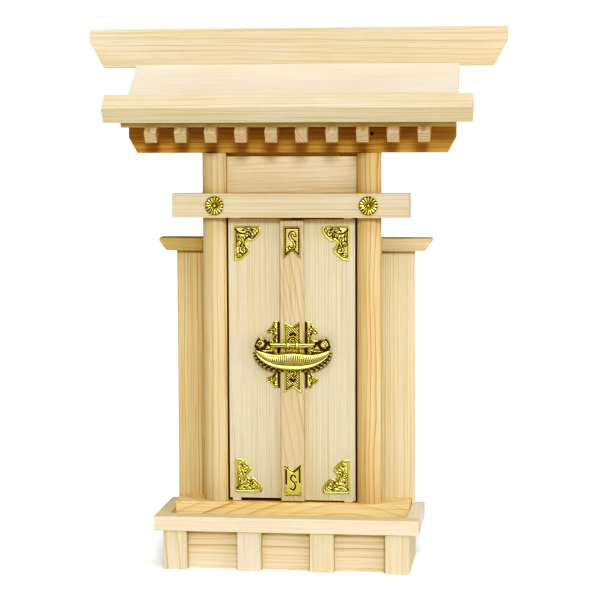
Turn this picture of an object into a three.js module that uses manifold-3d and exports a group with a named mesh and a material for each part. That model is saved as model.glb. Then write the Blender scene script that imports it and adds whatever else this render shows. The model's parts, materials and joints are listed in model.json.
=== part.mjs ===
// Household altar cabinet: a plain wooden shrine with a single front roof slope,
// two pivoted doors and pressed brass fittings.
// Units are millimetres, +Z is up and the doors face -Y.
// Depths below are counted from the front of the tray towards the back.
import * as THREE from "three";
import { mergeVertices } from "three/addons/utils/BufferGeometryUtils.js";
import Module from "manifold-3d";

const wasm = await Module();
wasm.setup();

// ---- driving dimensions -------------------------------------------------
const RIDGE = { top: 500.6, bend: 488.4, foot: 464.2, half: 198.9, halfFoot: 185.9, front: 97.5, thick: 12 };
const DEPTH = RIDGE.front + RIDGE.thick;
const SLOPE = Math.atan(0.7);
const RAFTER = { count: 10, pitch: 27.89, centre: -0.5, width: 11, deep: 11.7, front: 18.2, top: 402.5, back: 95.2 };
const SHEET = { half: 154, thick: 7, front: 24.7 };
const EAVE = { half: 169.3, tall: 16.8, deep: 22, front: 18.3 };
const BEAM = { half: 152.7, halfFoot: 144.8, foot: 383.5, bend: 398, front: 53.5, back: 63.5 };
const PILLAR = { x: 72.4, half: 11.2, round: 5.2, front: 50, flat: 61, steps: 12 };
const TIE = { half: 110.6, low: 323.5, high: 346, front: 43, back: 64 };
const SIDE = { inner: 68, outer: 76, back: 95.5 };
const WING = { half: 113.5, front: 82, back: 88, top: 290.9 };
const CAP = { half: 129.5, halfFoot: 122.7, front: 76, back: 94.5, top: 302.5, rise: 1, bend: 300.3 };
const FLOOR = { half: 110.2, front: 47.5, low: 40.5, top: 55.4 };
const TRAY = { half: 122.5, inner: 110.5, rail: 17.5, low: 36.5, top: 50 };
const BASE = { half: 113.7, panelFront: 11, board: 6, postFront: 1.5, postWidth: 22 };
const POSTS = [-102.7, -33.6, 33.6, 102.7];
const UPPER = { front: 61, back: 66.5, top: 380.3, tongue: 64, tongueTop: 383.2 };
const BACKBOARD = { thick: 8 };
const LEAF = { outer: 59.7, gap: 0.25, front: 54.7, back: 59 };
const LEAF_ENDS = { left: { low: 58.3, high: 322.6 }, right: { low: 56.8, high: 322 } };
const TAB = { width: 8.4, low: 55.7, high: 323 };
const PIVOT = { x: 53, depth: 56.85, radius: 0.9, hole: 1.05, reach: 5.5 };
const STILE = { left: -10.2, right: 11.9, front: 50.7, low: 56.5, high: 320.9 };
const PLATE = { thick: 0.8, bead: 0.5 };
const CORNER = { inset: 5.8, low: 64, high: 315.4 };
const STRAP = { x: 1.05, half: 7.8 };
const ROSETTE = { left: -70.5, right: 72.8, z: 334.6, radius: 9, petals: 16 };
const LOCK = { x: 1.4, half: 35.6, top: 198, low: 180.6, back: 48.8 };
const CLEARANCE = 0.3;

const WOOD = new THREE.MeshStandardMaterial({ color: 0xead2a6, roughness: 0.7 });
const BRASS = new THREE.MeshStandardMaterial({ color: 0xd2bd4a, roughness: 0.35, metalness: 1 });

const altar = new THREE.Group();
altar.name = "household_altar_cabinet";

// ---- helpers ------------------------------------------------------------
const yAt = (depth) => depth - DEPTH / 2;

function add(name, geometry, material) {
  const clean = geometry.index ? geometry.toNonIndexed() : geometry;
  clean.computeVertexNormals();
  const mesh = new THREE.Mesh(clean, material);
  mesh.name = name;
  altar.add(mesh);
  return mesh;
}

function board(x0, x1, d0, d1, z0, z1) {
  const geometry = new THREE.BoxGeometry(x1 - x0, d1 - d0, z1 - z0);
  geometry.translate((x0 + x1) / 2, yAt((d0 + d1) / 2), (z0 + z1) / 2);
  return geometry;
}

function shapeOf(points, holes = []) {
  const shape = new THREE.Shape(points.map(([u, v]) => new THREE.Vector2(u, v)));
  for (const hole of holes) {
    shape.holes.push(new THREE.Path(hole.map(([u, v]) => new THREE.Vector2(u, v))));
  }
  return shape;
}

// An outline in X and Z, carried through the depth from d0 to d1.
function frontPrism(points, d0, d1, holes = []) {
  const geometry = new THREE.ExtrudeGeometry(shapeOf(points, holes), { depth: d1 - d0, bevelEnabled: false });
  geometry.rotateX(Math.PI / 2);
  geometry.translate(0, yAt(d1), 0);
  return geometry;
}

// An outline in depth and Z, carried across from x0 to x1.
function sidePrism(points, x0, x1) {
  const outline = points.map(([depth, z]) => [yAt(depth), z]);
  const geometry = new THREE.ExtrudeGeometry(shapeOf(outline), { depth: x1 - x0, bevelEnabled: false });
  const turn = new THREE.Matrix4();
  turn.makeBasis(new THREE.Vector3(0, 1, 0), new THREE.Vector3(0, 0, 1), new THREE.Vector3(1, 0, 0));
  geometry.applyMatrix4(turn);
  geometry.translate(x0, 0, 0);
  return geometry;
}

// An outline in X and depth, carried up from z0 to z1.
function upPrism(points, z0, z1) {
  const outline = points.map(([x, depth]) => [x, yAt(depth)]);
  const geometry = new THREE.ExtrudeGeometry(shapeOf(outline), { depth: z1 - z0, bevelEnabled: false });
  geometry.translate(0, 0, z0);
  return geometry;
}

function ring(u, v, ru, rv, count, start = 0) {
  const points = [];
  for (let i = 0; i < count; i += 1) {
    const angle = start + (i / count) * 2 * Math.PI;
    points.push([u + ru * Math.cos(angle), v + rv * Math.sin(angle)]);
  }
  return points;
}

function toSolid(geometry) {
  const bare = new THREE.BufferGeometry();
  bare.setAttribute("position", geometry.getAttribute("position").clone());
  if (geometry.index) {
    bare.setIndex(geometry.index.clone());
  }
  const welded = mergeVertices(bare, 1e-4);
  const vertProperties = new Float32Array(welded.getAttribute("position").array);
  const triVerts = new Uint32Array(welded.index.array);
  return new wasm.Manifold(new wasm.Mesh({ numProp: 3, vertProperties, triVerts }));
}

function toGeometry(solid) {
  const mesh = solid.getMesh();
  const geometry = new THREE.BufferGeometry();
  geometry.setAttribute("position", new THREE.BufferAttribute(new Float32Array(mesh.vertProperties), 3));
  geometry.setIndex(new THREE.BufferAttribute(new Uint32Array(mesh.triVerts), 1));
  return geometry;
}

function join(first, ...others) {
  let solid = toSolid(first);
  for (const other of others) {
    solid = solid.add(toSolid(other));
  }
  return toGeometry(solid);
}

function cut(first, ...others) {
  let solid = toSolid(first);
  for (const other of others) {
    solid = solid.subtract(toSolid(other));
  }
  return toGeometry(solid);
}

function overlap(first, second) {
  return toGeometry(toSolid(first).intersect(toSolid(second)));
}

// A closed skin over equal-sized rings of points, with a flat fan on each end.
function loft(rings) {
  const positions = [];
  const size = rings[0].length;
  const push = (...points) => points.forEach((point) => positions.push(...point));
  for (let i = 0; i + 1 < rings.length; i += 1) {
    for (let k = 0; k < size; k += 1) {
      const next = (k + 1) % size;
      push(rings[i][k], rings[i + 1][k], rings[i + 1][next]);
      push(rings[i][k], rings[i + 1][next], rings[i][next]);
    }
  }
  const first = rings[0];
  const last = rings[rings.length - 1];
  const middle = (points) => [0, 1, 2].map((axis) => points.reduce((sum, p) => sum + p[axis], 0) / size);
  for (let k = 0; k < size; k += 1) {
    const next = (k + 1) % size;
    push(middle(first), first[k], first[next]);
    push(middle(last), last[next], last[k]);
  }
  const geometry = new THREE.BufferGeometry();
  geometry.setAttribute("position", new THREE.BufferAttribute(new Float32Array(positions), 3));
  return geometry;
}

// A smooth closed curve through hand-set points, sampled evenly.
function smooth(points, count, closed = true) {
  const curve = new THREE.CatmullRomCurve3(points.map(([u, v]) => new THREE.Vector3(u, v, 0)), closed, "centripetal");
  const samples = curve.getPoints(count).map((point) => [point.x, point.y]);
  return closed ? samples.slice(0, -1) : samples;
}

// A band of even width along a line of points, for raised scrollwork.
function band(points, width) {
  const left = [];
  const right = [];
  points.forEach(([u, v], i) => {
    const before = points[Math.max(i - 1, 0)];
    const after = points[Math.min(i + 1, points.length - 1)];
    const length = Math.hypot(after[0] - before[0], after[1] - before[1]);
    const nu = -(after[1] - before[1]) / length;
    const nv = (after[0] - before[0]) / length;
    const taper = 0.55 + 0.45 * Math.sin((Math.PI * (i + 0.5)) / points.length);
    left.push([u + (nu * width * taper) / 2, v + (nv * width * taper) / 2]);
    right.push([u - (nu * width * taper) / 2, v - (nv * width * taper) / 2]);
  });
  return left.concat(right.reverse());
}

function spiral(u, v, radius, turns, start, steps, hand) {
  const points = [];
  for (let i = 0; i <= steps; i += 1) {
    const along = i / steps;
    const reach = radius * (1 - 0.78 * along);
    const angle = start + hand * along * turns * 2 * Math.PI;
    points.push([u + reach * Math.cos(angle), v + reach * Math.sin(angle)]);
  }
  return points;
}

const mirrored = (points, side) => points.map(([u, v]) => [side * u, v]);

// ---- base and tray --------------------------------------------------------
POSTS.forEach((x, i) => {
  const half = BASE.postWidth / 2;
  const post = board(x - half, x + half, BASE.postFront, BASE.panelFront, 0, TRAY.low);
  add(`base_post_${i + 1}`, post, WOOD);
});
const baseInner = BASE.half - BASE.board;
const baseBack = SIDE.back;
add("base_side_left", board(-BASE.half, -baseInner, BASE.panelFront, baseBack, 0, TRAY.low), WOOD);
add("base_side_right", board(baseInner, BASE.half, BASE.panelFront, baseBack, 0, TRAY.low), WOOD);
const panelBack = BASE.panelFront + BASE.board;
add("base_front_panel", board(-baseInner, baseInner, BASE.panelFront, panelBack, 0, TRAY.low), WOOD);
add("base_back_panel", board(-baseInner, baseInner, baseBack - BASE.board, baseBack, 0, TRAY.low), WOOD);

add("tray_front_rail", board(-TRAY.half, TRAY.half, 0, TRAY.rail, TRAY.low, TRAY.top), WOOD);
add("tray_left_rail", board(-TRAY.half, -TRAY.inner, TRAY.rail, baseBack, TRAY.low, TRAY.top), WOOD);
add("tray_right_rail", board(TRAY.inner, TRAY.half, TRAY.rail, baseBack, TRAY.low, TRAY.top), WOOD);
add("tray_deck", board(-TRAY.inner, TRAY.inner, TRAY.rail, baseBack, TRAY.low, FLOOR.low), WOOD);

const pivotHole = (x, z0, z1) => upPrism(ring(x, PIVOT.depth, PIVOT.hole, PIVOT.hole, 16), z0, z1);
const floorBoard = board(-FLOOR.half, FLOOR.half, FLOOR.front, baseBack, FLOOR.low, FLOOR.top);
const floorHoles = [-PIVOT.x, PIVOT.x].map((x) => pivotHole(x, FLOOR.top - PIVOT.reach - 0.4, FLOOR.top + 1));
add("floor_board", cut(floorBoard, ...floorHoles), WOOD);

// ---- cabinet --------------------------------------------------------------
// A pillar's section: a rounded front between two short flat flanks, all grown by the same clearance.
function pillarSection(x, grow) {
  const half = PILLAR.half + grow;
  const radius = (half ** 2 + PILLAR.round ** 2) / (2 * PILLAR.round);
  const reach = Math.asin(half / radius);
  const points = [[x - half, PILLAR.flat]];
  for (let i = 0; i <= PILLAR.steps; i += 1) {
    const angle = reach * ((2 * i) / PILLAR.steps - 1);
    points.push([x + radius * Math.sin(angle), PILLAR.front - grow + radius * (1 - Math.cos(angle))]);
  }
  points.push([x + half, PILLAR.flat]);
  return points;
}

for (const [hand, side] of [["left", -1], ["right", 1]]) {
  add(`pillar_${hand}`, upPrism(pillarSection(side * PILLAR.x, 0), FLOOR.top, BEAM.foot), WOOD);
  const faces = [side * SIDE.inner, side * SIDE.outer].sort((a, b) => a - b);
  add(`cabinet_side_${hand}`, board(faces[0], faces[1], PILLAR.flat, SIDE.back, FLOOR.top, BEAM.foot), WOOD);

  const wing = [
    [SIDE.outer, FLOOR.top],
    [TRAY.inner, FLOOR.top],
    [TRAY.inner, TRAY.top],
    [WING.half, TRAY.top],
    [WING.half, WING.top],
    [SIDE.outer, WING.top],
  ];
  add(`wing_panel_${hand}`, frontPrism(mirrored(wing, side), WING.front, WING.back), WOOD);

  const capEnd = [
    [SIDE.outer, WING.top],
    [CAP.halfFoot, WING.top],
    [CAP.half, CAP.bend],
    [CAP.half, CAP.top + CAP.rise + 1],
    [SIDE.outer, CAP.top + CAP.rise + 1],
  ];
  const capSide = [
    [CAP.front, WING.top - 1],
    [CAP.back, WING.top - 1],
    [CAP.back, CAP.top + CAP.rise],
    [CAP.front, CAP.top],
  ];
  const capBlock = frontPrism(mirrored(capEnd, side), CAP.front - 1, CAP.back + 1);
  add(`wing_cap_${hand}`, overlap(capBlock, sidePrism(capSide, -CAP.half - 5, CAP.half + 5)), WOOD);
}

const tie = board(-TIE.half, TIE.half, TIE.front, TIE.back, TIE.low, TIE.high);
const tieCuts = [];
for (const side of [-1, 1]) {
  tieCuts.push(upPrism(pillarSection(side * PILLAR.x, CLEARANCE), TIE.low - 1, TIE.high + 1));
  const faces = [side * (SIDE.inner - CLEARANCE), side * (SIDE.outer + CLEARANCE)].sort((a, b) => a - b);
  tieCuts.push(board(faces[0], faces[1], PILLAR.flat - 1, TIE.back + 1, TIE.low - 1, TIE.high + 1));
  tieCuts.push(pivotHole(side * PIVOT.x, TIE.low - 1, TIE.low + PIVOT.reach));
}
add("tie_board", cut(tie, ...tieCuts), WOOD);

const panelHalf = SIDE.inner - CLEARANCE;
const panelSide = [
  [UPPER.front, TIE.high],
  [UPPER.back, TIE.high],
  [UPPER.back, UPPER.tongueTop],
  [UPPER.tongue, UPPER.tongueTop],
  [UPPER.tongue, UPPER.top],
  [UPPER.front, UPPER.top],
];
add("upper_panel", sidePrism(panelSide, -panelHalf, panelHalf), WOOD);

// ---- roof -----------------------------------------------------------------
const along = [Math.cos(SLOPE), Math.sin(SLOPE)];
const across = [-Math.sin(SLOPE), Math.cos(SLOPE)];
const step = (point, u, v) => [
  point[0] + u * along[0] + v * across[0],
  point[1] + u * along[1] + v * across[1],
];
const rafterTop = (depth) => RAFTER.top + (depth - RAFTER.front) * Math.tan(SLOPE);
const rafterUnder = (depth) => rafterTop(depth) - RAFTER.deep / Math.cos(SLOPE);
const sheetTop = (depth) => rafterTop(depth) + SHEET.thick / Math.cos(SLOPE);

const rafterOutline = [
  [RAFTER.front, RAFTER.top],
  step([RAFTER.front, RAFTER.top], 0, -RAFTER.deep),
  [RAFTER.back, rafterUnder(RAFTER.back)],
  [RAFTER.back, rafterTop(RAFTER.back)],
];
for (let i = 0; i < RAFTER.count; i += 1) {
  const x = RAFTER.centre + (i - (RAFTER.count - 1) / 2) * RAFTER.pitch;
  const name = `rafter_${String(i + 1).padStart(2, "0")}`;
  add(name, sidePrism(rafterOutline, x - RAFTER.width / 2, x + RAFTER.width / 2), WOOD);
}

const sheetEdge = [SHEET.front, rafterTop(SHEET.front)];
const sheetOutline = [
  sheetEdge,
  [RIDGE.front, rafterTop(RIDGE.front)],
  [RIDGE.front, sheetTop(RIDGE.front)],
  step(sheetEdge, 0, SHEET.thick),
];
add("roof_sheet", sidePrism(sheetOutline, -SHEET.half, SHEET.half), WOOD);

const eaveFoot = [EAVE.front, sheetTop(EAVE.front)];
const eaveOutline = [
  eaveFoot,
  step(eaveFoot, EAVE.deep, 0),
  step(eaveFoot, EAVE.deep, EAVE.tall),
  step(eaveFoot, 0, EAVE.tall),
];
add("eave_board", sidePrism(eaveOutline, -EAVE.half, EAVE.half), WOOD);

const beamFace = [
  [-BEAM.halfFoot, BEAM.foot],
  [BEAM.halfFoot, BEAM.foot],
  [BEAM.half, BEAM.bend],
  [BEAM.half, BEAM.bend + 40],
  [-BEAM.half, BEAM.bend + 40],
  [-BEAM.half, BEAM.bend],
];
const beamSection = [
  [BEAM.front, BEAM.foot - 1],
  [BEAM.back, BEAM.foot - 1],
  [BEAM.back, rafterUnder(BEAM.back)],
  [BEAM.front, rafterUnder(BEAM.front)],
];
const beamBlock = frontPrism(beamFace, BEAM.front - 1, BEAM.back + 1);
add("eave_beam", overlap(beamBlock, sidePrism(beamSection, -BEAM.half - 5, BEAM.half + 5)), WOOD);

const backOutline = [
  [SIDE.back, 0],
  [SIDE.back + BACKBOARD.thick, 0],
  [SIDE.back + BACKBOARD.thick, RIDGE.foot],
  [RIDGE.front, RIDGE.foot],
  [RIDGE.front, rafterTop(RIDGE.front)],
  [SIDE.back, rafterTop(SIDE.back)],
];
add("back_board", sidePrism(backOutline, -SIDE.outer, SIDE.outer), WOOD);

const ridgeFace = [
  [-RIDGE.halfFoot, RIDGE.foot],
  [RIDGE.halfFoot, RIDGE.foot],
  [RIDGE.half, RIDGE.bend],
  [RIDGE.half, RIDGE.top],
  [-RIDGE.half, RIDGE.top],
  [-RIDGE.half, RIDGE.bend],
];
add("ridge_beam", frontPrism(ridgeFace, RIDGE.front, DEPTH), WOOD);

// ---- doors ----------------------------------------------------------------
for (const [hand, side] of [["left", -1], ["right", 1]]) {
  const { low, high } = LEAF_ENDS[hand];
  const leaf = [
    [LEAF.gap, low],
    [PIVOT.x - TAB.width / 2, low],
    [PIVOT.x - TAB.width / 2, TAB.low],
    [PIVOT.x + TAB.width / 2, TAB.low],
    [PIVOT.x + TAB.width / 2, low],
    [LEAF.outer, low],
    [LEAF.outer, high],
    [PIVOT.x + TAB.width / 2, high],
    [PIVOT.x + TAB.width / 2, TAB.high],
    [PIVOT.x - TAB.width / 2, TAB.high],
    [PIVOT.x - TAB.width / 2, high],
    [LEAF.gap, high],
  ];
  add(`${hand}_door_leaf`, frontPrism(mirrored(leaf, side), LEAF.front, LEAF.back), WOOD);
  const pin = ring(side * PIVOT.x, PIVOT.depth, PIVOT.radius, PIVOT.radius, 16);
  add(`${hand}_pin_top`, upPrism(pin, TAB.high, TIE.low + PIVOT.reach - 0.6), BRASS);
  add(`${hand}_pin_foot`, upPrism(pin, FLOOR.top - PIVOT.reach, TAB.low), BRASS);
}
add("door_stile", board(STILE.left, STILE.right, STILE.front, LEAF.front, STILE.low, STILE.high), WOOD);

// ---- pressed fittings -----------------------------------------------------
// Each is a thin plate with its scrollwork raised on the front.
function plaque(name, outline, scrolls, face, holes = []) {
  const plate = frontPrism(outline, face - PLATE.thick, face, holes);
  const raised = scrolls.map((points) => frontPrism(points, face - PLATE.thick - PLATE.bead, face - 0.2));
  add(name, join(plate, ...raised), BRASS);
}

// The corner plate, from its square corner inwards along u and down along v.
const cornerCurve = [
  [24.6, 0.4],
  [25.2, 5.2],
  [22.2, 9.7],
  [18.6, 13.2],
  [15.6, 14.3],
  [13.4, 13.1],
  [11.5, 15.2],
  [12.2, 18.6],
  [14.7, 21.6],
  [13.5, 25.2],
  [10.2, 28.2],
  [6.5, 31.3],
  [1.2, 32.4],
];
const cornerOutline = [[0, 0]].concat(smooth(cornerCurve, 26, false), [[0, 32.2]]);
const cornerScrolls = [
  band(spiral(18.2, 6.6, 5.0, 1.15, 2.6, 16, 1), 1.5),
  band(spiral(7.4, 24.2, 4.9, 1.15, -0.9, 16, -1), 1.5),
  band(spiral(7.6, 8.2, 5.6, 1.1, 3.6, 16, -1), 1.6),
  band([[1.6, 1.6], [7, 2.1], [14, 1.8], [20, 2], [23.4, 2.4]], 1.1),
  band([[1.5, 4], [2, 10], [1.7, 17], [1.9, 24], [1.8, 30]], 1.1),
];
for (const [hand, side] of [["left", -1], ["right", 1]]) {
  for (const [level, lift] of [["top", -1], ["foot", 1]]) {
    const x = side * (LEAF.outer - CORNER.inset);
    const z = lift < 0 ? CORNER.high : CORNER.low;
    const place = (points) => points.map(([u, v]) => [x - side * u, z + lift * v]);
    plaque(`corner_plate_${hand}_${level}`, place(cornerOutline), cornerScrolls.map(place), LEAF.front);
  }
}

// Straps on the stile, their ends cut as swallow tails.
function tail(z, lift, depth, width) {
  const points = [];
  for (let i = 0; i <= 8; i += 1) {
    const across01 = i / 8;
    const arch = Math.sin(Math.PI * across01) ** 0.8;
    points.push([STRAP.x + lift * (across01 * 2 - 1) * (STRAP.half - width), z + lift * depth * arch]);
  }
  return points;
}
const strapSides = (low, high) => [
  [STRAP.x - STRAP.half, low],
  [STRAP.x + STRAP.half, low],
  [STRAP.x + STRAP.half, high],
  [STRAP.x - STRAP.half, high],
];
const strapEdges = (low, high) => [
  band([[STRAP.x - 6.9, low + 2], [STRAP.x - 6.9, (low + high) / 2], [STRAP.x - 6.9, high - 2]], 1.2),
  band([[STRAP.x + 6.9, low + 2], [STRAP.x + 6.9, (low + high) / 2], [STRAP.x + 6.9, high - 2]], 1.2),
];
const scrollPair = (z, reach) => [
  band(spiral(STRAP.x, z + reach, reach * 1.05, 0.95, -1.9, 16, 1), 1.7),
  band(spiral(STRAP.x, z - reach, reach * 1.05, 0.95, 1.25, 16, 1), 1.7),
];
const notched = (low, high, lowTail, highTail) => {
  const sides = strapSides(low, high);
  const outline = [sides[0]];
  if (lowTail) {
    outline.push(...tail(low, 1, lowTail, 0.6));
  }
  outline.push(sides[1], sides[2]);
  if (highTail) {
    outline.push(...tail(high, -1, highTail, 0.6));
  }
  outline.push(sides[3]);
  return outline;
};
plaque("stile_plate_top", notched(285, 315, 7.2, 0), strapEdges(288, 315).concat(scrollPair(302, 4.1)), STILE.front);
plaque("stile_plate_foot", notched(62, 92, 0, 6), strapEdges(62, 90).concat(scrollPair(76.5, 4.1)), STILE.front);
const slots = [ring(STRAP.x, 215.2, 3, 1.7, 10), ring(STRAP.x, 170.8, 3, 1.7, 10)];
const centreScrolls = strapEdges(163, 224).concat([
  band(spiral(STRAP.x, 208.2, 4.3, 0.9, 0.3, 14, 1), 1.5),
  band(spiral(STRAP.x, 177.6, 4.3, 0.9, 3.4, 14, 1), 1.5),
]);
plaque("stile_plate_centre", notched(159, 227, 5.6, 5), centreScrolls, STILE.front, slots);

// Scalloped plates either side of the stile, under the lock.
const sideCurve = [
  [12.6, 225.8],
  [18, 225.6],
  [20.6, 220.6],
  [24.8, 217.2],
  [23.4, 214.6],
  [20.2, 215.4],
  [18.9, 211],
  [20.4, 204],
  [20.4, 184],
  [18.9, 178.5],
  [19.8, 174.6],
  [24.6, 172.6],
  [24, 169.4],
  [20.2, 167],
  [18, 163.8],
  [12.6, 163.4],
];
const sideOutline = smooth(sideCurve, 44, false);
for (const [hand, side] of [["left", -1], ["right", 1]]) {
  const shift = side < 0 ? 1.1 : 0;
  const place = (points) => points.map(([u, v]) => [side * (u - shift), v]);
  const scrolls = [
    band(spiral(17.4, 218.6, 3.3, 1, 1.2, 12, -1), 1.2),
    band(spiral(17.4, 170.6, 3.3, 1, -1.2, 12, 1), 1.2),
    band([[14, 165.5], [14, 194], [14, 223.6]], 1),
  ];
  plaque(`lock_side_plate_${hand}`, place(sideOutline), scrolls.map(place), LEAF.front);
}

// ---- shrimp lock ------------------------------------------------------------
const lockRings = [];
const lockSteps = 28;
for (let i = 0; i <= lockSteps; i += 1) {
  const t = (i / lockSteps) * 1.97 - 0.985;
  const full = Math.sqrt(1 - t * t);
  const x = LOCK.x + t * LOCK.half;
  const top = LOCK.top + 3.4 * Math.abs(t) ** 3 - 1.2 * (1 - full) - 1.6 * Math.sin(Math.PI * Math.abs(t)) ** 2;
  const low = LOCK.low + 21.4 * (1 - full);
  const tall = Math.max(top - low, 1.2);
  const flute = i % 2 === 0 ? 0 : 0.25;
  const swell = (5.2 - flute) * full + 0.8;
  const profile = [
    [0, 0],
    [swell * 0.62, 0.02],
    [swell * 0.98, 0.1],
    [swell * 0.95, 0.24],
    [swell * 0.84 - flute, 0.32],
    [swell * 0.96 - flute, 0.56],
    [swell * 0.82, 0.84],
    [swell * 0.42, 0.98],
    [0, 1],
  ];
  lockRings.push(profile.map(([out, rise]) => [x, yAt(LOCK.back - out), low + rise * tall]));
}
add("lock_body", loft(lockRings), BRASS);

const backCurve = [];
for (let i = 0; i <= 26; i += 1) {
  const angle = Math.PI + (Math.PI * i) / 26;
  const scallop = 0.55 * Math.abs(Math.sin(i * 1.45));
  backCurve.push([LOCK.x + (37.4 + scallop) * Math.cos(angle), 198.5 + (22.6 + scallop) * Math.sin(angle)]);
}
for (let i = 0; i <= 10; i += 1) {
  const t = 1 - i / 5;
  backCurve.push([LOCK.x + t * 33.5, 197.5 - 6.5 * Math.sqrt(Math.max(0, 1 - t * t))]);
}
const lockFace = STILE.front - PLATE.thick - PLATE.bead;
add("lock_backplate", frontPrism(backCurve, LOCK.back, lockFace), BRASS);

// The bolt with its two collars and the two scrolled heads.
const boltZ = 204.6;
const boltDepth = 46;
const rod = (x0, x1, radius) => sidePrism(ring(boltDepth, boltZ, radius, radius, 12), x0, x1);
const collars = [-4.4, 3.8].map((x) => rod(LOCK.x + x - 1.4, LOCK.x + x + 1.4, 3.3));
const headOutline = (side) => smooth(
  mirrored([[17, 200.2], [25, 198.6], [33.6, 200.6], [35.6, 204.4], [31, 211.4], [24, 208.6], [19, 209.4]], side),
  21,
).map(([u, v]) => [LOCK.x + u, v]);
const heads = [-1, 1].map((side) => frontPrism(headOutline(side), 43.2, LOCK.back - 0.3));
const curls = [-1, 1].map((side) => {
  const points = spiral(LOCK.x + side * 27.5, 204.6, 4.4, 1.1, side < 0 ? 0.6 : 2.5, 14, side);
  return frontPrism(band(points, 1.5), 42.4, 43.6);
});
add("lock_bolt", join(rod(LOCK.x - 20, LOCK.x + 20, 2.6), ...collars, ...heads, ...curls), BRASS);

// ---- chrysanthemum rosettes --------------------------------------------------
function rosette(x) {
  const around = ROSETTE.petals * 2;
  const rings = [
    [0.2, 1.5, 1.5],
    [0.24, 1.35, 1.35],
    [0.27, 0.8, 0.75],
    [0.62, 1.6, 1.15],
    [0.88, 1.5, 0.8],
    [1, 0.9, 0.3],
  ];
  const layers = rings.map(([reach, ridge, valley]) => {
    const points = [];
    for (let k = 0; k < around; k += 1) {
      const angle = (k / around) * 2 * Math.PI;
      const isRidge = k % 2 === 0;
      const trim = isRidge || reach < 0.3 ? 1 : 0.94;
      const radius = ROSETTE.radius * reach * trim;
      const out = isRidge ? ridge : valley;
      points.push([x + radius * Math.cos(angle), yAt(TIE.front - out), ROSETTE.z + radius * Math.sin(angle)]);
    }
    return points;
  });
  const last = layers[layers.length - 1];
  layers.push(last.map(([px, , pz]) => [px, yAt(TIE.front), pz]));
  return loft(layers);
}
add("rosette_left", rosette(ROSETTE.left), BRASS);
add("rosette_right", rosette(ROSETTE.right), BRASS);

export default altar;
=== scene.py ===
"""Looks of a household altar cabinet: bare cypress boards and pressed brass fittings."""
import json
import math
import random
from dataclasses import dataclass, field

import bmesh
import bpy
import numpy as np
from mathutils import Matrix, Vector
from bpy.props import FloatProperty, FloatVectorProperty, PointerProperty
from bpy.types import Operator, Panel, PropertyGroup

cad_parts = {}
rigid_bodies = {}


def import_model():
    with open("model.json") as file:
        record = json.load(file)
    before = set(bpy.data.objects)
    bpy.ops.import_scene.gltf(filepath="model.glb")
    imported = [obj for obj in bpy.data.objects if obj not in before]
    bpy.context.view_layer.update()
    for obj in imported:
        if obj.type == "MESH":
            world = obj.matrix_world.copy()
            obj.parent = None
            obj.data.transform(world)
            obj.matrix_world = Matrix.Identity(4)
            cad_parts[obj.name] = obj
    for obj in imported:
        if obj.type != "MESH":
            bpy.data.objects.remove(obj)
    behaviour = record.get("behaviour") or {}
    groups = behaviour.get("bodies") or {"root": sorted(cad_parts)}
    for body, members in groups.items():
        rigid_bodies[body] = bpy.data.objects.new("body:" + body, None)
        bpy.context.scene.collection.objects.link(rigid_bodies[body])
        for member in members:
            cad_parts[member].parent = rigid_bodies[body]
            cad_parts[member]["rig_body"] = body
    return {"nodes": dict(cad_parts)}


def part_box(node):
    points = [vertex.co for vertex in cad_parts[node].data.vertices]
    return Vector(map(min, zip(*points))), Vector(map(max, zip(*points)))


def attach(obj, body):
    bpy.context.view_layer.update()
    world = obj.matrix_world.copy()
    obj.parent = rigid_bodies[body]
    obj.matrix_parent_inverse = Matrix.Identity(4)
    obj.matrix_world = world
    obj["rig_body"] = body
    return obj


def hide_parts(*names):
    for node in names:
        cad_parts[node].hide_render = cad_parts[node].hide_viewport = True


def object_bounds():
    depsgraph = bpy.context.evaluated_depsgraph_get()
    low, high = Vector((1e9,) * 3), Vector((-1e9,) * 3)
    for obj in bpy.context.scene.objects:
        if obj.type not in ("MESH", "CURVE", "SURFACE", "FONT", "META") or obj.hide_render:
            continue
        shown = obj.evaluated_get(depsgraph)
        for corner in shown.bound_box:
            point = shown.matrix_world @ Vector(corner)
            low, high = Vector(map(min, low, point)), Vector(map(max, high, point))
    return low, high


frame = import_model()

bl_info = {
    "name": "Household Altar Cabinet",
    "version": (1, 0, 0),
    "blender": (4, 5, 0),
    "location": "View3D > Sidebar > Altar",
    "description": "Dresses the packed altar cabinet in cypress and pressed brass",
    "category": "Object",
}

MM = 0.001
WELD_GAP = 0.01 * MM
FLOOR_GAP = 0.02 * MM
NAIL_HOLE = Vector((75.2, 0, 401.2)) * MM
NAIL_HOLE_RADIUS = 1.5 * MM
SPLINTER_ROOT = Vector((42.4, 0, 380.3)) * MM
PLATE_THICKNESS = 0.8
BOLT_HEIGHT = 204.6
SHEET_EDGE_WEAR = 0.3
CAD_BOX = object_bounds()
NODES = frame["nodes"]
ROOF_SLOPE = math.atan(0.7)
HANDS = (("left", -1), ("right", 1))

X = Vector((1, 0, 0))
Y = Vector((0, 1, 0))
Z = Vector((0, 0, 1))
UP_ROOF = Vector((0, math.cos(ROOF_SLOPE), math.sin(ROOF_SLOPE)))
OFF_ROOF = Vector((0, -math.sin(ROOF_SLOPE), math.cos(ROOF_SLOPE)))


# ---- sizes and colours that a user would change ----
def tint(name, description, *default):
    return FloatVectorProperty(
        name=name, description=description, subtype="COLOR", min=0, max=1, default=default
    )


def amount(name, description, default):
    return FloatProperty(name=name, description=description, default=default, min=0)


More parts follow.
